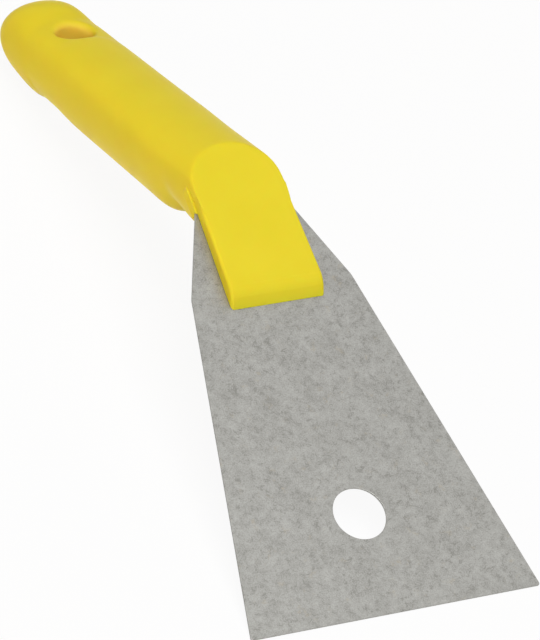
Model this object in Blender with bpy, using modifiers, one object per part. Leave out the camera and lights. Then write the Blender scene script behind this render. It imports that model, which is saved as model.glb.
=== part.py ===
"""Hand scraper: a stainless blade with a bent tang, a core moulded round the tang, and a moulded skin over both.

Lengths are in metres. The tool frame has its origin at the middle of the blade's working edge, on the face
that carries the nose pad: +X to the right, +Y from the edge towards the handle, +Z out of that face. The grip
has its own frame: its axis starts on the pad's plane and slopes down behind the blade. The finished tool
stands as it does on a table, on its working edge and on the underside of its pommel.
"""

import math

import bmesh
import bpy
from mathutils import Matrix, Vector

# Blade plate
BLADE_THICKNESS = 0.0008
EDGE_WIDTH = 0.1000
EDGE_CORNER_RADIUS = 0.0006
SHOULDER_WIDTH = 0.0559
SHOULDER_RADIUS = 0.0060
NECK_Y = 0.1430
NECK_LENGTH = 0.0296
NECK_WIDTH = 0.0316
NECK_CORNER_RADIUS = 0.0010
BLADE_HOLE_DIAMETER = 0.0174
BLADE_HOLE_Y = 0.0338

# Tang, the blade's hidden end
TANG_WIDTH = 0.0200
TANG_SETBACK = 0.0050
TANG_SHOULDER_RADIUS = 0.0015
TANG_DROP = 0.0015
TANG_BEND_RADIUS = 0.0050
TANG_LENGTH = 0.0700
TANG_END_RADIUS = 0.0050
KEY_HOLE_DIAMETER = 0.0080
KEY_HOLE_START = 0.0200
KEY_HOLE_SPACING = 0.0240
KEY_HOLE_COUNT = 2

# Nose pad, the flat tongue that lies on the blade
PAD_REACH = 0.0355
PAD_FRONT_WIDTH = 0.0328
PAD_REAR_WIDTH = 0.0308
PAD_HEIGHT = 0.0040
PAD_FRONT_ROUND = 0.0060
PAD_CORNER_RADIUS = 0.0012
PAD_EDGE_RADIUS = 0.0010
PAD_REAR_ROUND = 0.0125

# Collar, the part of the neck that closes round the blade's edges
COLLAR_DEPTH = 0.0030
COLLAR_LENGTH = 0.0100
COLLAR_TAPER = 0.0030
COLLAR_STEP = 0.00015

# Grip
GRIP_SETBACK = 0.0054
GRIP_ANGLE = math.radians(39)
GRIP_LENGTH = 0.1507
GRIP_WIDTH = 0.0314
GRIP_RISE = 0.0093
STOP_DROP = 0.0214
RIM_BEVEL = 0.0008
STATION_SHARES = (
    -0.16, 0.06, 0.085, 0.108, 0.126, 0.143, 0.17, 0.218, 0.30, 0.465, 0.63, 0.73, 0.804, 0.819, 0.876, 1.0
)
WIDTH_SHARES = (
    1.0, 1.0, 1.0, 1.0, 1.0, 1.0, 1.0, 1.0, 0.98, 0.945, 0.922, 0.907, 0.878, 0.908, 0.885, 0.88
)
RISE_SHARES = (
    1.0, 1.0, 1.0, 1.0, 1.0, 1.0, 1.0, 1.005, 1.011, 1.054, 1.095, 1.105, 1.105, 1.115, 1.305, 1.25
)
DROP_SHARES = (
    0.945, 0.91, 0.86, 0.82, 0.76, 0.755, 0.872, 1.0, 0.979, 0.936, 0.887, 0.805, 0.758, 0.82, 0.79, 0.73
)
CROWN_POWERS = (
    2.0, 2.0, 2.0, 2.0, 2.0, 2.0, 2.0, 2.0, 2.18, 2.32, 2.5, 2.6, 2.7, 2.65, 2.5, 2.3
)
ROUND_START_SHARE = 0.847
END_CAP_SHARE = 0.004
PLAN_ROUND_POWER = 3.7
SIDE_ROUND_POWER = 2.65

# Hanging hole through the pommel
HANG_HOLE_DIAMETER = 0.0114
HANG_HOLE_FROM_END = 0.0346
HANG_HOLE_RIM_RADIUS = 0.0028

# Skin and core
SKIN_WALL = 0.0030
LINING_WALL = 0.0018
CORE_START = 0.0160
CLEARANCE = 0.0003
CUT_OVERRUN = 0.0050

# How finely the round shapes are divided
AROUND_STEPS = 44
CORNER_STEPS = 5
HOLE_STEPS = 48
BEND_STEPS = 6
RIM_STEPS = 6
END_RINGS = 9
PAD_FRONT_RINGS = 8
PAD_REAR_RINGS = 6

SHOULDER_Y = NECK_Y - NECK_LENGTH
PAD_FRONT_Y = NECK_Y - PAD_REACH
TANG_SHOULDER_Y = NECK_Y + TANG_SETBACK
GRIP_START_Y = NECK_Y + GRIP_SETBACK
GRIP_AXIS = Vector((0, math.cos(GRIP_ANGLE), -math.sin(GRIP_ANGLE)))
GRIP_LIFT = Vector((0, math.sin(GRIP_ANGLE), math.cos(GRIP_ANGLE)))
GRIP_START = Vector((0, GRIP_START_Y, PAD_HEIGHT))
HANG_HOLE_S = GRIP_LENGTH - HANG_HOLE_FROM_END
# The bend starts where it brings the middle of the tang to TANG_DROP under the grip's axis
BEND_DEPTH = TANG_BEND_RADIUS * (1 - math.cos(GRIP_ANGLE)) + BLADE_THICKNESS / 2 + PAD_HEIGHT
BEND_REACH = BEND_DEPTH / math.tan(GRIP_ANGLE) - TANG_DROP / math.sin(GRIP_ANGLE)
TANG_BEND_Y = GRIP_START_Y + BEND_REACH - TANG_BEND_RADIUS * math.sin(GRIP_ANGLE)


def clear_scene():
    for obj in list(bpy.data.objects):
        bpy.data.objects.remove(obj, do_unlink=True)


def new_collection(name):
    collection = bpy.data.collections.new(name)
    bpy.context.scene.collection.children.link(collection)
    return collection


def new_material(name, color, roughness, metallic):
    material = bpy.data.materials.new(name)
    material.use_nodes = True
    shader = material.node_tree.nodes["Principled BSDF"]
    shader.inputs["Base Color"].default_value = (*color, 1)
    shader.inputs["Roughness"].default_value = roughness
    shader.inputs["Metallic"].default_value = metallic
    return material


def add_mesh(name, bm, collection, material=None):
    """Makes an object of the bmesh, in the tool frame, with its faces pointing out."""
    bmesh.ops.recalc_face_normals(bm, faces=bm.faces)
    mesh = bpy.data.meshes.new(name)
    bm.to_mesh(mesh)
    bm.free()
    obj = bpy.data.objects.new(name, mesh)
    collection.objects.link(obj)
    obj.parent = tool_frame
    if material:
        mesh.materials.append(material)
        mesh.shade_smooth()
        mesh.set_sharp_from_angle(angle=math.radians(35))
    else:
        obj.hide_render = True
        obj.display_type = "WIRE"
    return obj


def boolean(obj, operation, other):
    modifier = obj.modifiers.new(operation.title() + " " + other.name, "BOOLEAN")
    modifier.operation = operation
    modifier.object = other


def rounded_outline(corners):
    """Points of a closed outline whose corners (x, y, radius) are rounded by arcs."""
    points = []
    for i, (x, y, radius) in enumerate(corners):
        corner = Vector((x, y))
        before = (Vector(corners[i - 1][:2]) - corner).normalized()
        after = (Vector(corners[(i + 1) % len(corners)][:2]) - corner).normalized()
        half_angle = before.angle(after) / 2
        centre = corner + (before + after).normalized() * radius / math.sin(half_angle)
        first = corner + before * radius / math.tan(half_angle) - centre
        turn = first.angle_signed(corner + after * radius / math.tan(half_angle) - centre)
        for step in range(CORNER_STEPS + 1):
            angle = -turn * step / CORNER_STEPS
            points.append(centre + Matrix.Rotation(angle, 2) @ first)
    return points


def circle_points(x, y, radius):
    angles = [2 * math.pi * i / HOLE_STEPS for i in range(HOLE_STEPS)]
    return [Vector((x + radius * math.cos(a), y + radius * math.sin(a))) for a in angles]


def flat_plate(loops, low, high):
    """A bmesh of the filled outline (first loop) with its holes (the others), from height low to high."""
    curve = bpy.data.curves.new("outline", "CURVE")
    curve.dimensions = "2D"
    curve.fill_mode = "BOTH"
    curve.extrude = (high - low) / 2
    for loop in loops:
        spline = curve.splines.new("POLY")
        spline.points.add(len(loop) - 1)
        spline.use_cyclic_u = True
        for point, place in zip(spline.points, loop):
            point.co = (place.x, place.y, 0, 1)
    obj = bpy.data.objects.new("outline", curve)
    bpy.context.scene.collection.objects.link(obj)
    graph = bpy.context.evaluated_depsgraph_get()
    mesh = bpy.data.meshes.new_from_object(obj.evaluated_get(graph))
    bm = bmesh.new()
    bm.from_mesh(mesh)
    bmesh.ops.remove_doubles(bm, verts=bm.verts, dist=BLADE_THICKNESS / 100)
    bmesh.ops.translate(bm, verts=bm.verts, vec=(0, 0, (low + high) / 2))
    bpy.data.objects.remove(obj)
    bpy.data.curves.remove(curve)
    bpy.data.meshes.remove(mesh)
    return bm


def blade_bmesh(grow, with_blade_hole):
    """The blade as a flat sheet, then bent at its tang. A slot for it is the same sheet, grown on all sides."""
    straight_y = TANG_BEND_Y + TANG_BEND_RADIUS * GRIP_ANGLE
    right = (
        (EDGE_WIDTH / 2 + grow, -grow, EDGE_CORNER_RADIUS),
        (SHOULDER_WIDTH / 2 + grow, SHOULDER_Y, SHOULDER_RADIUS),
        (NECK_WIDTH / 2 + grow, NECK_Y, NECK_CORNER_RADIUS),
        (TANG_WIDTH / 2 + grow, TANG_SHOULDER_Y + grow, TANG_SHOULDER_RADIUS),
        (TANG_WIDTH / 2 + grow, straight_y + TANG_LENGTH + grow, TANG_END_RADIUS),
    )
    left = tuple((-x, y, radius) for x, y, radius in reversed(right))
    loops = [rounded_outline(right + left)]
    if with_blade_hole:
        loops.append(circle_points(0, BLADE_HOLE_Y, BLADE_HOLE_DIAMETER / 2))
    for i in range(KEY_HOLE_COUNT):
        y = straight_y + KEY_HOLE_START + i * KEY_HOLE_SPACING
        loops.append(circle_points(0, y, KEY_HOLE_DIAMETER / 2 - grow))
    bm = flat_plate(loops, -BLADE_THICKNESS - grow, grow)
    for step in range(BEND_STEPS + 1):
        y = TANG_BEND_Y + (straight_y - TANG_BEND_Y) * step / BEND_STEPS
        geom = bm.verts[:] + bm.edges[:] + bm.faces[:]
        bmesh.ops.bisect_plane(bm, geom=geom, plane_co=(0, y, 0), plane_no=(0, 1, 0))
    for vert in bm.verts:
        vert.co = bent(vert.co)
    return bm


def bent(flat):
    """Where a point of the flat sheet goes when the tang is bent to the grip's slope."""
    past = max(flat.y - TANG_BEND_Y, 0)
    angle = min(past / TANG_BEND_RADIUS, GRIP_ANGLE)
    middle = -BLADE_THICKNESS / 2
    radius = TANG_BEND_RADIUS + flat.z - middle
    y = min(flat.y, TANG_BEND_Y) + radius * math.sin(angle)
    z = middle - TANG_BEND_RADIUS + radius * math.cos(angle)
    straight = max(past - TANG_BEND_RADIUS * GRIP_ANGLE, 0)
    return Vector((flat.x, y, z)) + GRIP_AXIS * straight


def smooth_share(shares, station):
    """A smooth curve through the shares at STATION_SHARES, which never overshoots them."""
    xs = STATION_SHARES
    steps = [(shares[i + 1] - shares[i]) / (xs[i + 1] - xs[i]) for i in range(len(xs) - 1)]
    slopes = [0.0]
    for left, right in zip(steps, steps[1:]):
        slopes.append(2 * left * right / (left + right) if left * right > 0 else 0.0)
    slopes.append(0.0)
    i = max(k for k in range(len(xs) - 1) if xs[k] <= station)
    width = xs[i + 1] - xs[i]
    t = (station - xs[i]) / width
    value = shares[i] * (1 + 2 * t) * (1 - t) ** 2 + shares[i + 1] * t * t * (3 - 2 * t)
    return value + width * (slopes[i] * t * (1 - t) ** 2 + slopes[i + 1] * t * t * (t - 1))


def grip_section(s, inset):
    """Half width, rise over the axis, drop under it and crown power at distance s, less the inset."""
    station = min(max(s / GRIP_LENGTH, STATION_SHARES[0]), STATION_SHARES[-1])
    half_width = smooth_share(WIDTH_SHARES, station) * GRIP_WIDTH / 2 - inset
    rise = smooth_share(RISE_SHARES, station) * GRIP_RISE - inset
    drop = smooth_share(DROP_SHARES, station) * STOP_DROP - inset
    power = smooth_share(CROWN_POWERS, station)
    round_start = ROUND_START_SHARE * GRIP_LENGTH
    reach = min(max((s - round_start) / (GRIP_LENGTH - inset - round_start), 0), 1)
    plan = (1 - reach**PLAN_ROUND_POWER) ** (1 / PLAN_ROUND_POWER)
    side = (1 - reach**SIDE_ROUND_POWER) ** (1 / SIDE_ROUND_POWER)
    return half_width * plan, rise * side, drop * side, power


def ring_places(start, inset):
    """Distances along the grip of the rings, from start to the rounded end."""
    round_start = ROUND_START_SHARE * GRIP_LENGTH
    marks = [start] + [x * GRIP_LENGTH for x in STATION_SHARES if start < x * GRIP_LENGTH < round_start]
    marks.append(round_start)
    places = []
    for low, high in zip(marks, marks[1:]):
        places += [low, (low + high) / 2]
    end = GRIP_LENGTH - inset
    for i in range(END_RINGS):
        places.append(round_start + (end - round_start) * math.sin(math.pi / 2 * i / END_RINGS))
    places.append(end - (end - round_start) * END_CAP_SHARE)
    return places


def grip_point(s, x, lift):
    return GRIP_START + GRIP_AXIS * s + GRIP_LIFT * lift + Vector((x, 0, 0))


def grip_ring(s, inset):
    """An elliptic cross-section whose upper half is flattened towards a rectangle by its power."""
    half_width, rise, drop, power = grip_section(s, inset)
    points = []
    for i in range(AROUND_STEPS):
        angle = 2 * math.pi * i / AROUND_STEPS
        across, height = math.cos(angle), math.sin(angle)
        if height > 0:
            across = math.copysign(abs(across) ** (2 / power), across)
            lift = rise * height ** (2 / power)
        else:
            lift = drop * height
        points.append(grip_point(s, half_width * across, lift))
    return points


def loft(rings):
    """A closed bmesh through rings that all have the same number of points."""
    bm = bmesh.new()
    loops = [[bm.verts.new(point) for point in ring] for ring in rings]
    for near, far in zip(loops, loops[1:]):
        for i in range(len(near)):
            j = (i + 1) % len(near)
            bm.faces.new((near[i], near[j], far[j], far[i]))
    bm.faces.new(loops[0])
    bm.faces.new(loops[-1])
    return bm


def grip_bmesh(start, inset):
    return loft([grip_ring(s, inset) for s in ring_places(start, inset)])


def cut_at_pad_plane(bm):
    """Cuts the grip off at the pad's plane and rounds the rim behind the pad."""
    geom = bm.verts[:] + bm.edges[:] + bm.faces[:]
    plane = Vector((0, 0, PAD_HEIGHT))
    cut = bmesh.ops.bisect_plane(bm, geom=geom, plane_co=plane, plane_no=(0, 0, 1), clear_outer=True)
    edges = [item for item in cut["geom_cut"] if isinstance(item, bmesh.types.BMEdge)]
    bmesh.ops.edgeloop_fill(bm, edges=edges)
    rim = [edge for edge in edges if min(v.co.y for v in edge.verts) > GRIP_START_Y - PAD_EDGE_RADIUS]
    bmesh.ops.bevel(bm, geom=rim, offset=RIM_BEVEL, segments=2, profile=0.5, affect="EDGES")


def round_share(past, radius):
    """Share of the full height that a quarter round keeps at a distance past its start, 1 before the start."""
    return math.sqrt(max(1 - (max(past, 0) / radius) ** 2, 0))


def pad_ring(y):
    """The pad's cross-section: straight sides from the blade up, a flat top and rounded edges."""
    to_rear = (y - PAD_FRONT_Y) / (GRIP_START_Y - PAD_FRONT_Y)
    half_width = (PAD_FRONT_WIDTH + (PAD_REAR_WIDTH - PAD_FRONT_WIDTH) * min(to_rear, 1)) / 2
    half_width *= round_share(y - GRIP_START_Y, PAD_REAR_ROUND)
    half_width -= PAD_CORNER_RADIUS * (1 - round_share(PAD_FRONT_Y + PAD_CORNER_RADIUS - y, PAD_CORNER_RADIUS))
    height = PAD_HEIGHT * round_share(PAD_FRONT_Y + PAD_FRONT_ROUND - y, PAD_FRONT_ROUND)
    base = -BLADE_THICKNESS / 2
    radius = min(PAD_EDGE_RADIUS, height / 2 - base / 2)
    points = [Vector((half_width, y, base))]
    for step in range(CORNER_STEPS + 1):
        angle = math.pi / 2 * step / CORNER_STEPS
        x = half_width - radius + radius * math.cos(angle)
        points.append(Vector((x, y, height - radius + radius * math.sin(angle))))
    return points + [Vector((-point.x, y, point.z)) for point in reversed(points)]


def pad_bmesh():
    quarter = math.pi / 2
    places = []
    for i in range(PAD_FRONT_RINGS + 1):
        places.append(PAD_FRONT_Y + PAD_FRONT_ROUND * (1 - math.cos(quarter * i / PAD_FRONT_RINGS)))
    for i in range(PAD_REAR_RINGS - 1):
        places.append(GRIP_START_Y + PAD_REAR_ROUND * math.sin(quarter * i / PAD_REAR_RINGS))
    return loft([pad_ring(y) for y in places])


def collar_bmesh():
    half_width = PAD_REAR_WIDTH / 2 - COLLAR_STEP
    rear = NECK_Y + COLLAR_LENGTH
    right = (
        Vector((half_width, NECK_Y)),
        Vector((half_width, rear - COLLAR_TAPER)),
        Vector((half_width - COLLAR_TAPER, rear)),
    )
    left = tuple(Vector((-point.x, point.y)) for point in reversed(right))
    return flat_plate([right + left], -COLLAR_DEPTH, -CLEARANCE)


def on_hang_hole_axis(obj):
    """Moves a cutter that is made round its own Z axis to the hanging hole's axis."""
    turn = Matrix.Rotation(-GRIP_ANGLE, 4, "X")
    obj.matrix_basis = Matrix.Translation(grip_point(HANG_HOLE_S, 0, 0)) @ turn
    return obj


def plain_hole_cutter(name, radius):
    bm = bmesh.new()
    depth = 2 * (STOP_DROP + CUT_OVERRUN)
    bmesh.ops.create_cone(
        bm, cap_ends=True, segments=HOLE_STEPS, radius1=radius, radius2=radius, depth=depth
    )
    return on_hang_hole_axis(add_mesh(name, bm, cutters))


def rimmed_hole_cutter(name):
    """A turned cutter: a bore that flares to a rounded rim at the grip's crown and underside."""
    _, rise, drop, _ = grip_section(HANG_HOLE_S, 0)
    bore = HANG_HOLE_DIAMETER / 2
    rim = []
    for step in range(RIM_STEPS + 1):
        angle = math.pi / 2 * step / RIM_STEPS
        wider = HANG_HOLE_RIM_RADIUS * (1 - math.cos(angle))
        depth = HANG_HOLE_RIM_RADIUS * (1 - math.sin(angle))
        rim.append((bore + wider, depth))
    flare = bore + HANG_HOLE_RIM_RADIUS
    profile = [(0, rise + CUT_OVERRUN), (flare, rise + CUT_OVERRUN)]
    profile += [(x, rise - depth) for x, depth in reversed(rim)]
    profile += [(x, depth - drop) for x, depth in rim]
    profile += [(flare, -drop - CUT_OVERRUN), (0, -drop - CUT_OVERRUN)]
    bm = bmesh.new()
    verts = [bm.verts.new((x, 0, z)) for x, z in profile]
    for upper, lower in zip(verts, verts[1:]):
        bm.edges.new((upper, lower))
    obj = on_hang_hole_axis(add_mesh(name, bm, cutters))
    screw = obj.modifiers.new("Turn", "SCREW")
    screw.steps = HOLE_STEPS
    screw.render_steps = HOLE_STEPS
    screw.use_merge_vertices = True
    screw.merge_threshold = BLADE_THICKNESS / 100
    return obj


def side_profile():
    """The grip's crown and underside in the tool frame's side view, ring by ring."""
    for s in ring_places(0, 0):
        _, rise, drop, _ = grip_section(s, 0)
        yield grip_point(s, 0, rise)
        yield grip_point(s, 0, -drop)


def stand_on_table(frame):
    """Tilts the tool until its working edge and its pommel touch Z = 0, centred over the origin."""
    profile = list(side_profile())
    tilt = max(math.atan2(-point.z - BLADE_THICKNESS, point.y) for point in profile)
    rear = max(point.y * math.cos(tilt) - point.z * math.sin(tilt) for point in profile)
    frame.rotation_euler = (tilt, 0, 0)
    frame.location = (0, -rear / 2, BLADE_THICKNESS * math.cos(tilt))


clear_scene()
parts = new_collection("hand_scraper")
cutters = new_collection("cutters")
tool_frame = bpy.data.objects.new("tool_frame", None)
parts.objects.link(tool_frame)
stand_on_table(tool_frame)

steel = new_material("stainless_steel", (0.39, 0.385, 0.36), 0.45, 1.0)
skin_plastic = new_material("yellow_polypropylene", (0.78, 0.62, 0.035), 0.42, 0.0)
core_plastic = new_material("natural_polypropylene", (0.72, 0.70, 0.62), 0.55, 0.0)

# Blade and the slot that it needs in the plastic
blade = add_mesh("blade", blade_bmesh(0, True), parts, steel)
slot_cutter = add_mesh("slot_cutter", blade_bmesh(CLEARANCE, False), cutters)

# Core, whose pegs fill the tang's holes, with a wide hole for the skin's lining of the hanging hole
lining_radius = HANG_HOLE_DIAMETER / 2 + LINING_WALL
lining_cutter = plain_hole_cutter("lining_cutter", lining_radius + CLEARANCE)
core_bm = grip_bmesh(CORE_START, SKIN_WALL + CLEARANCE)
handle_core = add_mesh("handle_core", core_bm, parts, core_plastic)
boolean(handle_core, "DIFFERENCE", lining_cutter)
boolean(handle_core, "DIFFERENCE", slot_cutter)

# Space for the core inside the skin, with the lining left standing in it
lining = plain_hole_cutter("lining", lining_radius)
core_space = add_mesh("core_space", grip_bmesh(CORE_START - CLEARANCE, SKIN_WALL), cutters)
boolean(core_space, "DIFFERENCE", lining)

# Skin: grip, nose pad and collar in one moulding
skin_bm = grip_bmesh(STATION_SHARES[0] * GRIP_LENGTH, 0)
cut_at_pad_plane(skin_bm)
handle_skin = add_mesh("handle_skin", skin_bm, parts, skin_plastic)
pad = add_mesh("pad", pad_bmesh(), cutters)
collar = add_mesh("collar", collar_bmesh(), cutters)
boolean(handle_skin, "UNION", collar)
boolean(handle_skin, "UNION", pad)
boolean(handle_skin, "DIFFERENCE", slot_cutter)
boolean(handle_skin, "DIFFERENCE", core_space)
boolean(handle_skin, "DIFFERENCE", rimmed_hole_cutter("hang_hole_cutter"))
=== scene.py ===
import math

import bmesh
import bpy
from mathutils import Matrix, Vector


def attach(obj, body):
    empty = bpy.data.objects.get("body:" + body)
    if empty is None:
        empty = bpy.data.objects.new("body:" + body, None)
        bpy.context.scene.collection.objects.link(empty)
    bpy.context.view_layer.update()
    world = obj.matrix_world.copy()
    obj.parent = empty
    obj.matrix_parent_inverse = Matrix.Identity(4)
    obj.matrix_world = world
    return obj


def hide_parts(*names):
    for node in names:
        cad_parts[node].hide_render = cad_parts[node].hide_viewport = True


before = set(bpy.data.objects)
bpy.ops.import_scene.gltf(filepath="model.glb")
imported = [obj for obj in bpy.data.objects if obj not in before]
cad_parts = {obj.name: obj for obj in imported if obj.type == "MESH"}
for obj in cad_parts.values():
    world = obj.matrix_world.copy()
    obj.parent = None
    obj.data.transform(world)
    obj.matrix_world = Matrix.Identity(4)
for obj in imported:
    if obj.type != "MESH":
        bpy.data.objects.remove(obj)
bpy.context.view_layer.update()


# The blade: one flat sheet of rolled stainless steel with a round hole near its working edge. It
# narrows to the neck, where its tang bends down into the handle, with two holes that the plastic
# fills. The sheet is cut out, bent and deburred, and it keeps the mill's mottled skin.
SHEET = 0.0008
EDGE_HALF = 0.0500
SHOULDER_HALF, SHOULDER_Y = 0.02795, 0.1134
NECK_HALF, NECK_Y = 0.0158, 0.1430
TANG_HALF, TANG_Y = 0.0100, 0.1480
# Where the sheet has corners, and how far back each pair is rounded
CORNERS = ((0, 0.00077), (SHOULDER_Y, 0.0006), (NECK_Y, 0.0003), (TANG_Y, 0.0005))
BEND_Y, BEND_RADIUS = 0.1499, 0.0050
TANG_LENGTH, TANG_END_ROUND = 0.0700, 0.0050
TANG_HOLES, TANG_HOLE_RADIUS = (0.020, 0.044), 0.0040
BLADE_HOLE_Y, BLADE_HOLE_RADIUS = 0.0338, 0.0087
PUNCH_DEPTH = 0.006
EDGE_BREAK = 0.00012
# How far the handle slopes from the blade, and how the whole tool leans and stands on the table
SLOPE = math.radians(39)
LEAN = math.radians(20.96838)
STAND = (0, -0.14058614, 0.00074702)
# Points nearer than this count as one
SAME = 1e-6


def only(piece):
    """Makes the piece the one selected and active object."""
    bpy.ops.object.select_all(action="DESELECT")
    piece.select_set(True)
    bpy.context.view_layer.objects.active = piece


def settle(piece, turn=(0, 0, 0), place=(0, 0, 0)):
    """Turns and places a piece, and puts both into its mesh."""
    only(piece)
    piece.rotation_euler = turn
    piece.location = place
    bpy.ops.object.transform_apply(location=True, rotation=True, scale=True)


def pick(piece, mode, wanted):
    """In edit mode, selects the vertices, edges or faces whose middle passes the test."""
    bpy.ops.mesh.select_mode(type=mode)
    bpy.ops.mesh.select_all(action="DESELECT")
    shape = bmesh.from_edit_mesh(piece.data)
    for item in {"VERT": shape.verts, "EDGE": shape.edges, "FACE": shape.faces}[mode]:
        corners = [item] if mode == "VERT" else item.verts
        middle = sum((v.co for v in corners), Vector()) / len(corners)
        item.select = bool(wanted(item, middle))
    shape.select_flush_mode()
    bmesh.update_edit_mesh(piece.data)


def finish_with(piece, kind, **settings):
    """Adds one modifier and applies it."""
    only(piece)
    modifier = piece.modifiers.new(kind.title(), kind)
    for name, value in settings.items():
        setattr(modifier, name, value)
    bpy.ops.object.modifier_apply(modifier=modifier.name)


def cut(piece, operation, other):
    """Joins or cuts a piece with another solid, which is used up."""
    finish_with(piece, "BOOLEAN", operation=operation, object=other, solver="EXACT")
    bpy.data.objects.remove(other)


bpy.ops.object.select_all(action="DESELECT")
bpy.ops.mesh.primitive_plane_add(size=1)
blade = bpy.context.object
blade.name = "blade_sheet"
blade.scale = (2 * EDGE_HALF, SHOULDER_Y, 1)
settle(blade, place=(0, SHOULDER_Y / 2, 0))
bpy.ops.object.mode_set(mode="EDIT")
pick(blade, "VERT", lambda v, at: at.y > SHOULDER_Y / 2)
bpy.ops.transform.resize(value=(SHOULDER_HALF / EDGE_HALF, 1, 1))
row_y, row_half = SHOULDER_Y, SHOULDER_HALF
for next_y, next_half in ((NECK_Y, NECK_HALF), (TANG_Y, TANG_HALF)):
    pick(blade, "EDGE", lambda e, at: abs(at.y - row_y) < SAME)
    bpy.ops.mesh.extrude_edges_move(TRANSFORM_OT_translate={"value": (0, next_y - row_y, 0)})
    bpy.ops.transform.resize(value=(next_half / row_half, 1, 1))
    row_y, row_half = next_y, next_half
bpy.ops.mesh.extrude_edges_move(TRANSFORM_OT_translate={"value": (0, BEND_Y - TANG_Y, 0)})
# The flat part becomes one face, so that its corners can be rounded
pick(blade, "EDGE", lambda e, at: not e.is_boundary)
bpy.ops.mesh.dissolve_edges(use_verts=False)
for corner_y, back in CORNERS:
    pick(blade, "VERT", lambda v, at: abs(at.y - corner_y) < SAME)
    bpy.ops.mesh.bevel(offset=back, segments=5, affect="VERTICES")
pick(blade, "EDGE", lambda e, at: at.y > BEND_Y - SAME)
bend_centre = (0, BEND_Y, -BEND_RADIUS - SHEET / 2)
bpy.ops.mesh.spin(steps=8, angle=SLOPE, center=bend_centre, axis=(1, 0, 0))
tang_way = (0, TANG_LENGTH * math.cos(SLOPE), -TANG_LENGTH * math.sin(SLOPE))
bpy.ops.mesh.extrude_edges_move(TRANSFORM_OT_translate={"value": tang_way})
bpy.ops.mesh.select_all(action="SELECT")
bpy.ops.mesh.remove_doubles(threshold=SAME)
pick(blade, "VERT", lambda v, at: at.y > BEND_Y + TANG_LENGTH / 2)
bpy.ops.mesh.bevel(offset=TANG_END_ROUND, segments=6, affect="VERTICES")
bpy.ops.mesh.select_all(action="SELECT")
bpy.ops.mesh.normals_make_consistent(inside=False)
shape = bmesh.from_edit_mesh(blade.data)
if sum(face.normal.z * face.calc_area() for face in shape.faces) < 0:
    bpy.ops.mesh.flip_normals()
bpy.ops.object.mode_set(mode="OBJECT")
finish_with(blade, "SOLIDIFY", thickness=SHEET, offset=-1, use_even_offset=True)
bend_way = Vector((0, math.sin(SLOPE), math.cos(SLOPE) - 1)) * (BEND_RADIUS + SHEET / 2)
bend_end = Vector((0, BEND_Y, 0)) + bend_way
punches = [(Vector((0, BLADE_HOLE_Y, 0)), 0, BLADE_HOLE_RADIUS)]
for along in TANG_HOLES:
    centre = bend_end + Vector(tang_way) * (along / TANG_LENGTH)
    punches.append((centre, -SLOPE, TANG_HOLE_RADIUS))
for centre, turn, radius in punches:
    bpy.ops.mesh.primitive_cylinder_add(
        vertices=96, radius=radius, depth=PUNCH_DEPTH, location=centre, rotation=(turn, 0, 0)
    )
    cut(blade, "DIFFERENCE", bpy.context.object)
only(blade)
bpy.ops.object.duplicate()
slot_cutter = bpy.context.object
finish_with(
    blade, "BEVEL", width=EDGE_BREAK, segments=2, limit_method="ANGLE",
    angle_limit=math.radians(60), use_clamp_overlap=False,
)
only(blade)
bpy.ops.object.shade_smooth_by_angle(angle=math.radians(20))
finish_with(blade, "WEIGHTED_NORMAL", keep_sharp=True)
settle(blade, (LEAN, 0, 0), STAND)


def new_finish(name, base, roughness, metallic=0.0):
    """A material with its shader, and a function that adds linked nodes to it."""
    finish = bpy.data.materials.new(name)
    finish.use_nodes = True
    tree = finish.node_tree
    shader = tree.nodes["Principled BSDF"]
    shader.inputs["Base Color"].default_value = (*base, 1)
    shader.inputs["Roughness"].default_value = roughness
    shader.inputs["Metallic"].default_value = metallic

    def add(kind, links=(), values=(), **settings):
        """Adds a node with what is linked to it, its values and its settings."""
        node = tree.nodes.new(kind)
        for key, value in settings.items():
            setattr(node, key, value)
        for socket, value in dict(values).items():
            node.inputs[socket].default_value = value
        for socket, source in dict(links).items():
            tree.links.new(source, node.inputs[socket])
        return node

    return finish, shader, tree, add


def noise(add, place, **values):
    """A noise pattern on the piece's own place."""
    return add("ShaderNodeTexNoise", {"Vector": place}, values).outputs["Fac"]


def spread(add, source, low, high, to_low=0, to_high=1):
    """Spreads a value from one range over another, and holds it at the ends."""
    ends = {"From Min": low, "From Max": high, "To Min": to_low, "To Max": to_high}
    return add("ShaderNodeMapRange", {"Value": source}, ends).outputs[0]


STEEL_MEAN = (0.372, 0.365, 0.343)
STEEL_DARK, STEEL_LIGHT = (0.267, 0.260, 0.240, 1), (0.476, 0.469, 0.446, 1)
STEEL_BROWN = (0.414, 0.364, 0.282, 1)
steel, shader, tree, add = new_finish("mill_finish_stainless", STEEL_MEAN, 0.5, 1.0)
place = add("ShaderNodeTexCoord").outputs["Object"]
clouds = noise(add, place, Scale=100, Detail=3, Roughness=0.6)
blotch = noise(add, place, Scale=420, Detail=3, Roughness=0.65)
speckle = noise(add, place, Scale=2400, Detail=2, Roughness=0.7)
# Short dark marks run along the thin lines where one noise passes its middle, in another's patches
veins = noise(add, place, Scale=300, Detail=3, Roughness=0.6, Distortion=0.8)
line = add("ShaderNodeMath", {0: veins}, {1: 0.5}, operation="SUBTRACT")
line = add("ShaderNodeMath", {0: line.outputs[0]}, operation="ABSOLUTE")
line = spread(add, line.outputs[0], 0, 0.028, 1, 0)
patch = spread(add, blotch, 0.52, 0.44)
marks = add("ShaderNodeMath", {0: line, 1: patch}, operation="MULTIPLY").outputs[0]
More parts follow.
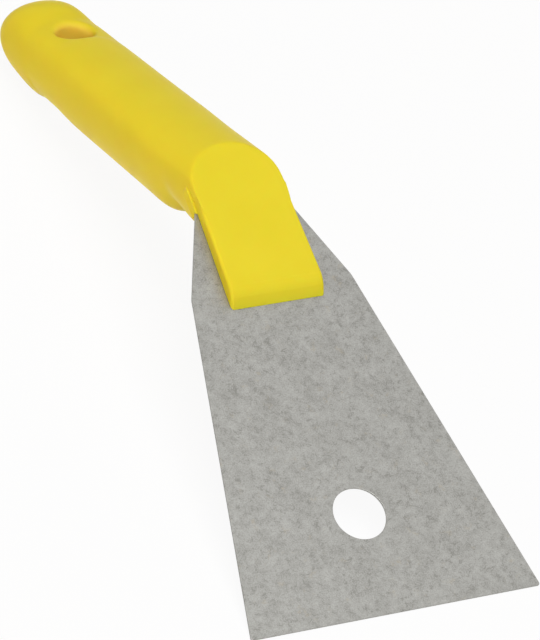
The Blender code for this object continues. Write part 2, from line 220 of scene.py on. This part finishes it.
# The tone is the blotches' with a share of the clouds, of the speckle and, darker, of the marks
tone = blotch
for pattern, weight in ((clouds, 0.7), (speckle, 1.7), (marks, -0.55)):
    tone = add("ShaderNodeMath", {0: pattern, 2: tone}, {1: weight}, operation="MULTIPLY_ADD")
    tone = tone.outputs[0]
skin = add("ShaderNodeValToRGB", {"Fac": spread(add, tone, 1.10, 2.30)})
skin.color_ramp.elements[0].color = STEEL_DARK
skin.color_ramp.elements[1].color = STEEL_LIGHT
# A few places have a brownish bloom
rust = noise(add, place, Scale=240, Detail=4, Roughness=0.7)
bloom = spread(add, rust, 0.60, 0.80, 0, 0.8)
warm = add(
    "ShaderNodeMix", {0: bloom, 6: skin.outputs["Color"]}, {7: STEEL_BROWN}, data_type="RGBA"
)
tree.links.new(warm.outputs[2], shader.inputs["Base Color"])
tree.links.new(spread(add, blotch, 0, 1, 0.42, 0.58), shader.inputs["Roughness"])
grit = add("ShaderNodeBump", {"Height": speckle}, {"Strength": 0.25, "Distance": 0.00006})
tree.links.new(grit.outputs["Normal"], shader.inputs["Normal"])
blade.data.materials.clear()
blade.data.materials.append(steel)
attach(blade, "root")
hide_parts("blade")


# The core: natural polypropylene, moulded round the tang first, so that the handle can't turn on
# the blade. The yellow handle is moulded over it and hides it all, so its CAD solid stays, with a
# plain plastic finish.
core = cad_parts["handle_core"]
natural, shader, tree, add = new_finish("natural_polypropylene", (0.72, 0.70, 0.62), 0.55)
place = add("ShaderNodeTexCoord").outputs["Object"]
tint = add("ShaderNodeValToRGB", {"Fac": noise(add, place, Scale=160, Detail=3)})
tint.color_ramp.elements[0].color = (0.68, 0.66, 0.57, 1)
tint.color_ramp.elements[1].color = (0.76, 0.74, 0.67, 1)
tree.links.new(tint.outputs["Color"], shader.inputs["Base Color"])
core.data.materials.clear()
core.data.materials.append(natural)


# The handle: grip, nose pad and collar in one moulding of yellow polypropylene over the core and
# the tang. The grip is drawn as a row of sixteen-sided rings along its own axis, from inside the
# neck to the pommel. Millimetres along it, half width, rise over the axis, drop under it, and how
# square the crown is:
GRIP_START = (0, 0.1484, 0.0040)
GRIP_RINGS = (
    (-21.0, 16.13, 9.54, 20.74, 2.00),
    (-10.0, 16.13, 9.54, 20.63, 2.00),
    (0.0, 16.13, 9.54, 20.34, 2.00),
    (6.0, 16.13, 9.54, 20.11, 2.00),
    (10.5, 16.13, 9.54, 19.93, 2.00),
    (14.0, 16.13, 9.54, 18.50, 2.00),
    (17.0, 16.13, 9.54, 17.78, 2.00),
    (20.0, 16.12, 9.54, 16.29, 2.00),
    (23.0, 16.12, 9.54, 16.78, 2.00),
    (26.5, 16.13, 9.54, 19.84, 2.00),
    (31.0, 16.14, 9.58, 22.09, 2.00),
    (36.0, 16.14, 9.66, 21.92, 2.02),
    (44.0, 15.84, 9.68, 21.52, 2.24),
    (56.0, 15.60, 9.86, 21.11, 2.30),
    (70.0, 15.28, 10.16, 20.55, 2.37),
    (84.0, 15.06, 10.40, 20.03, 2.49),
    (97.0, 14.88, 10.57, 19.52, 2.59),
    (106.4, 14.80, 10.64, 18.09, 2.65),
    (111.2, 14.76, 10.66, 17.56, 2.68),
    (116.1, 14.70, 10.67, 16.79, 2.74),
    (120.6, 14.66, 10.68, 16.34, 2.77),
    (122.2, 14.68, 10.66, 16.34, 2.74),
    (123.3, 14.72, 10.70, 16.34, 2.68),
    (126.6, 14.76, 11.20, 16.29, 2.58),
    (131.5, 14.55, 12.55, 16.30, 2.45),
    (136.5, 14.25, 12.79, 15.72, 2.50),
    (141.0, 14.15, 11.95, 14.43, 2.40),
    (144.8, 13.25, 9.95, 12.47, 2.12),
    (147.8, 11.40, 8.15, 10.34, 2.05),
    (149.8, 7.01, 3.87, 5.29, 2.02),
)
# Behind the groove the pommel's underside stands deeper, by so much at each ring. The bands say
# which columns, from and to so far beside the middle, take which share of it
HEEL = (
    (123.3, 1.8), (126.6, 1.5), (131.5, 1.05), (136.5, 0.65), (141.0, 0.45), (144.8, 0.3),
    (147.8, 0.2),
)
HEEL_BANDS = ((-0.1, 7, 1.0), (4.4, 11.5, 0.55))
CAP_SWELL = 0.6
# The hanging hole: its place along the grip, and each ring of its lead-in with its radius, how deep
# it lies and how much it follows the grip's round
HOLE_AT = 116.1
HOLE_RINGS = ((8.3, 0.12, 1.0), (7.0, 0.80, 0.75), (6.05, 2.7, 0.25), (5.8, 5.4, 0.0))
# Its openings, above and below: height over the axis, swell to the front and to the rear, how
# square the grip is there, and how much steeper the lead-in is at the rear than at the front
HOLE_SIDES = ((1, 10.47, 0, 0.4, 2.7, 0.6), (-1, 16.8, 1.1, 1.0, 2.0, 0))
GRIP_HALF_AT_HOLE, SWELL_RADIUS = 14.4, 9
MM = 0.001


def on_ring(at, along):
    """Whether a point lies in the ring so many millimetres along the grip."""
    return abs(at.y - along * MM) < SAME


bpy.ops.object.select_all(action="DESELECT")
bpy.ops.mesh.primitive_circle_add(vertices=16, radius=MM, rotation=(math.pi / 2, 0, 0))
handle = bpy.context.object
handle.name = "handle_moulding"
settle(handle, handle.rotation_euler, (0, GRIP_RINGS[0][0] * MM, 0))
bpy.ops.object.mode_set(mode="EDIT")
bpy.ops.mesh.select_all(action="SELECT")
for near, far in zip(GRIP_RINGS, GRIP_RINGS[1:]):
    way = (0, (far[0] - near[0]) * MM, 0)
    bpy.ops.mesh.extrude_edges_move(TRANSFORM_OT_translate={"value": way})
for along, half_width, rise, drop, crown in GRIP_RINGS:
    middle = (0, along * MM, 0)
    # The crown's slanting columns are pushed out, so that the round becomes squarer
    for angle in (22.5, 45, 67.5):
        x, z = math.cos(math.radians(angle)), math.sin(math.radians(angle))
        pick(
            handle, "VERT",
            lambda v, at: on_ring(at, along) and abs(abs(at.x) - x * MM) < SAME and at.z > 0,
        )
        square = (x ** (2 / crown - 1), 1, z ** (2 / crown - 1))
        bpy.ops.transform.resize(value=square, center_override=middle)
    pick(handle, "VERT", lambda v, at: on_ring(at, along))
    bpy.ops.transform.resize(value=(half_width, 1, 1), center_override=middle)
    pick(handle, "VERT", lambda v, at: on_ring(at, along) and at.z > SAME)
    bpy.ops.transform.resize(value=(1, 1, rise), center_override=middle)
    pick(handle, "VERT", lambda v, at: on_ring(at, along) and at.z < -SAME)
    bpy.ops.transform.resize(value=(1, 1, drop), center_override=middle)

for along, depth in HEEL:
    for inner, outer, share in HEEL_BANDS:
        pick(
            handle, "VERT",
            lambda v, at: on_ring(at, along) and at.z < -MM and inner < abs(at.x) / MM < outer,
        )
        bpy.ops.transform.translate(value=(0, 0, -depth * share * MM))

# The pommel is closed by a grid that swells a little
last = GRIP_RINGS[-1][0] * MM
pick(handle, "VERT", lambda v, at: at.y > last - SAME)
bpy.ops.mesh.fill_grid(span=4, offset=0)
pick(
    handle, "VERT",
    lambda v, at: at.y > last - SAME and all(abs(f.normal.y) > 0.7 for f in v.link_faces),
)
bpy.ops.transform.translate(value=(0, CAP_SWELL * MM, 0))

# The hanging hole: a patch is taken out of the crown and of the underside, and each opening is led
# in by rings, from the soft rim down to the bore, that then are joined. In the crown the lead-in is
# short and steep at the rear and long at the front
for side, height, front, rear, crown, tilt in HOLE_SIDES:
    pick(
        handle, "VERT",
        lambda v, at: 107 < at.y / MM < 126 and abs(at.x) < 8 * MM and side * at.z > 4 * MM,
    )
    bpy.ops.mesh.delete(type="VERT")
    pick(handle, "EDGE", lambda e, at: e.is_boundary and at.y > 0.1 and at.z * side > 0)
    for radius, lower, follow in HOLE_RINGS:
        bpy.ops.mesh.extrude_edges_move(TRANSFORM_OT_translate={"value": (0, 0, 0)})
        shape = bmesh.from_edit_mesh(handle.data)
        loop = [v for v in shape.verts if v.select]
        loop.sort(key=lambda v: math.atan2(-v.co.x, v.co.y - HOLE_AT * MM) % (2 * math.pi))
        first = min(range(len(loop)), key=lambda i: abs(loop[i].co.x) - loop[i].co.y)
        loop = loop[first:] + loop[:first]
        goals = []
        for step in range(len(loop)):
            angle = 2 * math.pi * step / len(loop)
            ahead = math.cos(angle)
            x = -radius * math.sin(angle)
            saddle = height * (1 - (1 - abs(x / GRIP_HALF_AT_HOLE) ** crown) ** (1 / crown))
            swell = (rear if ahead > 0 else front) * ahead ** 2 * (radius / SWELL_RADIUS) ** 2
            z = side * (height + swell - lower * (1 - tilt * ahead) - follow * saddle)
            goals.append(Vector((x * MM, (HOLE_AT + radius * ahead) * MM, z * MM)))
        ways = {v.index: goal - v.co for v, goal in zip(loop, goals)}
        for number, way in ways.items():
            pick(handle, "VERT", lambda v, at: v.index == number)
            bpy.ops.transform.translate(value=way)
        pick(handle, "VERT", lambda v, at: v.index in ways)
pick(handle, "EDGE", lambda e, at: e.is_boundary and at.y > 0.1)
bpy.ops.mesh.bridge_edge_loops(number_cuts=3)
bpy.ops.object.mode_set(mode="OBJECT")
finish_with(handle, "SUBSURF", levels=3, render_levels=3)

bpy.ops.object.mode_set(mode="EDIT")
pick(handle, "EDGE", lambda e, at: e.is_boundary)
bpy.ops.mesh.edge_face_add()
bpy.ops.mesh.select_all(action="SELECT")
bpy.ops.mesh.normals_make_consistent(inside=False)
bpy.ops.object.mode_set(mode="OBJECT")
settle(handle, (-SLOPE, 0, 0), GRIP_START)

# The nose pad lies on the blade: a flat tongue whose front slopes down to the steel, with softened
# edges. Its foot reaches PAD_FOOT in front of PAD_FRONT, and its top starts PAD_SLOPE behind it
PAD_FRONT, PAD_REAR, PAD_TOP, PAD_ROOT = 0.1075, 0.1500, 0.00403, -0.0004
PAD_WIDTH, PAD_REAR_WIDTH, PAD_TOP_WIDTH = 0.0328, 0.0306, 0.0326
PAD_FOOT, PAD_SLOPE = 0.0004, 0.0043
PAD_BEND_ROUND, PAD_SIDE_ROUND = 0.0026, 0.0011
bpy.ops.mesh.primitive_cube_add(size=1)
pad = bpy.context.object
pad.scale = (PAD_WIDTH, PAD_REAR - PAD_FRONT, PAD_TOP - PAD_ROOT)
settle(pad, place=(0, (PAD_FRONT + PAD_REAR) / 2, (PAD_TOP + PAD_ROOT) / 2))
bpy.ops.object.mode_set(mode="EDIT")
pick(pad, "VERT", lambda v, at: at.y > PAD_REAR - SAME)
bpy.ops.transform.resize(value=(PAD_REAR_WIDTH / PAD_WIDTH, 1, 1))
pick(pad, "VERT", lambda v, at: at.y < PAD_FRONT + SAME and at.z < 0)
bpy.ops.transform.translate(value=(0, -PAD_FOOT, 0))
pick(pad, "VERT", lambda v, at: at.y < PAD_FRONT + SAME and at.z > 0)
bpy.ops.transform.translate(value=(0, PAD_SLOPE, 0))
bpy.ops.transform.resize(value=(PAD_TOP_WIDTH / PAD_WIDTH, 1, 1))
pick(pad, "EDGE", lambda e, at: at.y < PAD_FRONT + 0.0050 and at.z > 0.0035)
bpy.ops.mesh.bevel(offset=PAD_BEND_ROUND, segments=10, profile=0.5, affect="EDGES")
pick(
    pad, "EDGE",
    lambda e, at: len(e.link_faces) == 2 and abs(at.x) > 0.0150 and at.z > -0.0003
    and at.y < PAD_REAR - SAME and any(abs(f.normal.x) > 0.9 for f in e.link_faces)
    and any(abs(f.normal.x) < 0.1 for f in e.link_faces),
)
bpy.ops.mesh.bevel(offset=PAD_SIDE_ROUND, segments=5, profile=0.5, affect="EDGES")
bpy.ops.object.mode_set(mode="OBJECT")
cut(handle, "UNION", pad)

# The collar closes the neck round the blade's edges, and stands a little proud of the pad's sides
COLLAR_SIZE, COLLAR_AT = (0.0323, 0.0112, 0.0032), (0, 0.1476, -0.0012)
COLLAR_CORNER_ROUND, COLLAR_EDGE_ROUND = 0.0026, 0.00022
bpy.ops.mesh.primitive_cube_add(size=1)
collar = bpy.context.object
collar.scale = COLLAR_SIZE
settle(collar, place=COLLAR_AT)
bpy.ops.object.mode_set(mode="EDIT")
collar_rear = COLLAR_AT[1] + COLLAR_SIZE[1] / 2
pick(collar, "EDGE", lambda e, at: at.y > collar_rear - 0.0001 and abs(at.x) > 0.015)
bpy.ops.mesh.bevel(offset=COLLAR_CORNER_ROUND, segments=4, affect="EDGES")
bpy.ops.mesh.select_all(action="SELECT")
bpy.ops.mesh.bevel(offset=COLLAR_EDGE_ROUND, segments=2, affect="EDGES")
bpy.ops.object.mode_set(mode="OBJECT")
cut(handle, "UNION", collar)

# The slot that the blade fills, a little wider than the sheet
SLOT_ROOM = 0.00012
only(slot_cutter)
bpy.ops.object.mode_set(mode="EDIT")
bpy.ops.mesh.select_all(action="SELECT")
bpy.ops.transform.shrink_fatten(value=SLOT_ROOM)
bpy.ops.object.mode_set(mode="OBJECT")
cut(handle, "DIFFERENCE", slot_cutter)

# The grip slopes down from the neck. It is cut off level with the pad, and the cut face gets a soft
# rim behind the pad: narrow rings are let in, and those outside an ellipse are smoothed
RIM_FROM, RIM_STEP = 0.1462, 0.0003
RIM_HALF_WIDTH, RIM_HALF_LENGTH, RIM_SHARE = 15.7, 14.8, 0.958
only(handle)
bpy.ops.object.mode_set(mode="EDIT")
bpy.ops.mesh.select_all(action="SELECT")
bpy.ops.mesh.bisect(
    plane_co=GRIP_START, plane_no=(0, 0, 1), use_fill=True, clear_outer=True, threshold=1e-7
)
level = GRIP_START[2]
pick(handle, "FACE", lambda f, at: at.z > level - SAME and f.normal.z > 0.9)
bpy.ops.mesh.bisect(plane_co=(0, RIM_FROM, 0), plane_no=(0, 1, 0), threshold=1e-7)
pick(
    handle, "FACE",
    lambda f, at: at.z > level - SAME and at.y > RIM_FROM and f.calc_area() > 0.0001,
)
for step in range(3):
    bpy.ops.mesh.inset(thickness=RIM_STEP, depth=0, use_even_offset=False)
pick(
    handle, "VERT",
    lambda v, at: at.y > RIM_FROM + MM and at.z > level - 0.0007 and RIM_SHARE * MM
    < math.hypot(at.x / RIM_HALF_WIDTH, (at.y - GRIP_START[1]) / RIM_HALF_LENGTH),
)
bpy.ops.mesh.vertices_smooth(factor=0.5, repeat=10)
pick(handle, "FACE", lambda f, at: f.normal.z > 0.9999 and abs(at.z - level) < SAME)
bpy.ops.mesh.dissolve_faces()
bpy.ops.object.mode_set(mode="OBJECT")
bpy.ops.object.shade_smooth_by_angle(angle=math.radians(32))
finish_with(handle, "WEIGHTED_NORMAL", keep_sharp=True)
bpy.ops.object.mode_set(mode="EDIT")
pick(handle, "FACE", lambda f, at: f.normal.z > 0.9999 and abs(at.z - level) < 1e-5)
bpy.ops.mesh.set_normals_from_faces(keep_sharp=True)
bpy.ops.object.mode_set(mode="OBJECT")
settle(handle, (LEAN, 0, 0), STAND)

YELLOW_MEAN = (0.84, 0.70, 0.037)
YELLOW_DARK, YELLOW_LIGHT = (0.83, 0.689, 0.035, 1), (0.85, 0.709, 0.039, 1)
# A deeper orange, painted as the shade and orange bounce light inside the hanging hole
PAINTED_SHADE_IN_HOLE = (0.98, 0.73, 0.10, 1)
yellow, shader, tree, add = new_finish("yellow_polypropylene", YELLOW_MEAN, 0.4)
place = add("ShaderNodeTexCoord").outputs["Object"]
# The same place in the grip's own frame, to find the hanging hole. Deep in its bore a painted
# shade of deeper orange stands in for the shade and the orange light bounced inside the hole
to_hole = (
    Matrix.Translation(STAND) @ Matrix.Rotation(LEAN, 4, "X") @ Matrix.Translation(GRIP_START)
    @ Matrix.Rotation(-SLOPE, 4, "X") @ Matrix.Translation((0, HOLE_AT * MM, 0))
).inverted()
local = add(
    "ShaderNodeMapping", {"Vector": place},
    {"Location": to_hole.to_translation(), "Rotation": to_hole.to_euler()},
).outputs[0]
parts = add("ShaderNodeSeparateXYZ", {"Vector": local}).outputs
across = add("ShaderNodeCombineXYZ", {"X": parts["X"], "Y": parts["Y"]}).outputs[0]
away = add("ShaderNodeVectorMath", {0: across}, operation="LENGTH").outputs["Value"]
# The painted shade reaches higher up the bore on the pommel's side
height = add("ShaderNodeVectorMath", {0: local}, {1: (0, -0.2, 1)}, operation="DOT_PRODUCT")
inside = spread(add, away, 0.0078, 0.0070)
below = spread(add, height.outputs["Value"], 0.0090, 0.0074)
hole_shade_mask = add("ShaderNodeMath", {0: inside, 1: below}, operation="MULTIPLY").outputs[0]
tint = add("ShaderNodeValToRGB", {"Fac": noise(add, place, Scale=45, Detail=3)})
tint.color_ramp.elements[0].position, tint.color_ramp.elements[1].position = 0.35, 0.65
tint.color_ramp.elements[0].color = YELLOW_DARK
tint.color_ramp.elements[1].color = YELLOW_LIGHT
# Low in the hanging hole's bore, the yellow turns to the deeper orange of the painted shade
yellow_with_hole_shade = add(
    "ShaderNodeMix", {0: hole_shade_mask, 6: tint.outputs["Color"]}, {7: PAINTED_SHADE_IN_HOLE}, data_type="RGBA"
)
tree.links.new(yellow_with_hole_shade.outputs[2], shader.inputs["Base Color"])
fine = noise(add, place, Scale=1500, Detail=2)
tree.links.new(spread(add, fine, 0, 1, 0.28, 0.40), shader.inputs["Roughness"])
shader.inputs["Specular IOR Level"].default_value = 0.02
shader.inputs["Subsurface Weight"].default_value = 0.25
shader.inputs["Subsurface Radius"].default_value = (1.0, 0.35, 0.1)
shader.inputs["Subsurface Scale"].default_value = 0.004
grain = add("ShaderNodeBump", {"Height": fine}, {"Strength": 0.12, "Distance": 0.00005})
tree.links.new(grain.outputs["Normal"], shader.inputs["Normal"])
handle.data.materials.clear()
handle.data.materials.append(yellow)
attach(handle, "root")
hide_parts("handle_skin")


# The studio: a plain pale floor, an even pale surround and five soft lamps. Neither floor nor
# surround adds much light: they are only seen pale, by the camera and in what the pieces mirror.
bpy.ops.object.select_all(action="DESELECT")
bpy.ops.mesh.primitive_plane_add(size=8)
floor = bpy.context.object
floor.name = "studio_floor"
paper, shader, tree, add = new_finish("white_paper", (0.85, 0.85, 0.85), 0.9)
FLOOR_GLOW, SURROUND_LIGHT = 0.93, 0.05
ray = add("ShaderNodeLightPath").outputs
seen = ray["Is Camera Ray"]
for kind in ("Is Glossy Ray", "Is Transmission Ray"):
    seen = add("ShaderNodeMath", {0: seen, 1: ray[kind]}, operation="MAXIMUM").outputs[0]
share = add("ShaderNodeMath", {0: seen}, {1: FLOOR_GLOW}, operation="MULTIPLY")
glow = add("ShaderNodeEmission", (), {"Color": (1, 1, 1, 1), "Strength": 1.0})
blend = add("ShaderNodeMixShader", {0: share.outputs[0], 1: shader.outputs[0], 2: glow.outputs[0]})
tree.links.new(blend.outputs[0], tree.nodes["Material Output"].inputs["Surface"])
floor.data.materials.append(paper)

world = bpy.data.worlds.new("studio")
bpy.context.scene.world = world
world.use_nodes = True
nodes, links = world.node_tree.nodes, world.node_tree.links
faint = nodes["Background"]
faint.inputs["Color"].default_value = (1, 1, 1, 1)
faint.inputs["Strength"].default_value = SURROUND_LIGHT
pale = nodes.new("ShaderNodeBackground")
ray = nodes.new("ShaderNodeLightPath").outputs
seen = ray["Is Camera Ray"]
for kind in ("Is Glossy Ray", "Is Transmission Ray"):
    either = nodes.new("ShaderNodeMath")
    either.operation = "MAXIMUM"
    links.new(seen, either.inputs[0])
    links.new(ray[kind], either.inputs[1])
    seen = either.outputs[0]
mix = nodes.new("ShaderNodeMixShader")
links.new(seen, mix.inputs[0])
links.new(faint.outputs[0], mix.inputs[1])
links.new(pale.outputs[0], mix.inputs[2])
links.new(mix.outputs[0], nodes["World Output"].inputs["Surface"])

LAMPS_AIM = (0, 0, 0.03)


def lamp(name, place, size, watts, tint):
    """A square soft box that points at the object."""
    light = bpy.data.lights.new(name, "AREA")
    light.size = size
    light.energy = watts
    light.color = tint
    holder = bpy.data.objects.new(name, light)
    bpy.context.scene.collection.objects.link(holder)
    holder.location = place
    holder.rotation_euler = (Vector(LAMPS_AIM) - Vector(place)).to_track_quat("-Z", "Y").to_euler()
    return holder


lamp("soft_box_front", (-0.24, -0.88, 1.74), 1.1, 21.9, (0.97, 1, 1))
# The steel mirrors the pale surround and not these lamps, which would leave it patchy or tinted
for unseen in (
    lamp("soft_box_top", (0, 0.18, 2.3), 1.6, 17.0, (1, 0.98, 0.98)),
    lamp("soft_box_left", (-1.2, -0.3, 0.18), 1.0, 8.2, (1, 0.75, 0.55)),
    lamp("soft_box_right", (1.2, 0.2, 0.5), 0.8, 2.3, (1, 0.60, 0.5)),
    lamp("soft_box_back", (0, 1.3, 0.6), 0.8, 1.0, (1, 0.6, 0.6)),
):
    unseen.visible_glossy = False

# The camera stands at the photograph's viewpoint, given in the blade's own frame and leaned with it
EYE = (-0.7785, -0.5372, 1.3875)
SIDEWAYS = (0.8804, -0.3334, 0.3371)
UPWARDS = (0.1443, 0.8656, 0.4794)
FORWARDS = (0.4517, 0.3735, -0.8102)
LENS, SENSOR = 313.3, 36
camera = bpy.data.objects.new("camera", bpy.data.cameras.new("camera"))
bpy.context.scene.collection.objects.link(camera)
axes = Matrix((SIDEWAYS, UPWARDS, [-part for part in FORWARDS])).transposed()
leaning = Matrix.Rotation(LEAN, 3, "X")
spot = Matrix.Translation(Vector(STAND) + leaning @ Vector(EYE))
camera.matrix_world = spot @ (leaning @ axes).to_4x4()
camera.data.sensor_width = SENSOR
camera.data.lens = LENS
camera.data.clip_end = 50
bpy.context.scene.camera = camera
bpy.context.scene.view_settings.view_transform = "Standard"
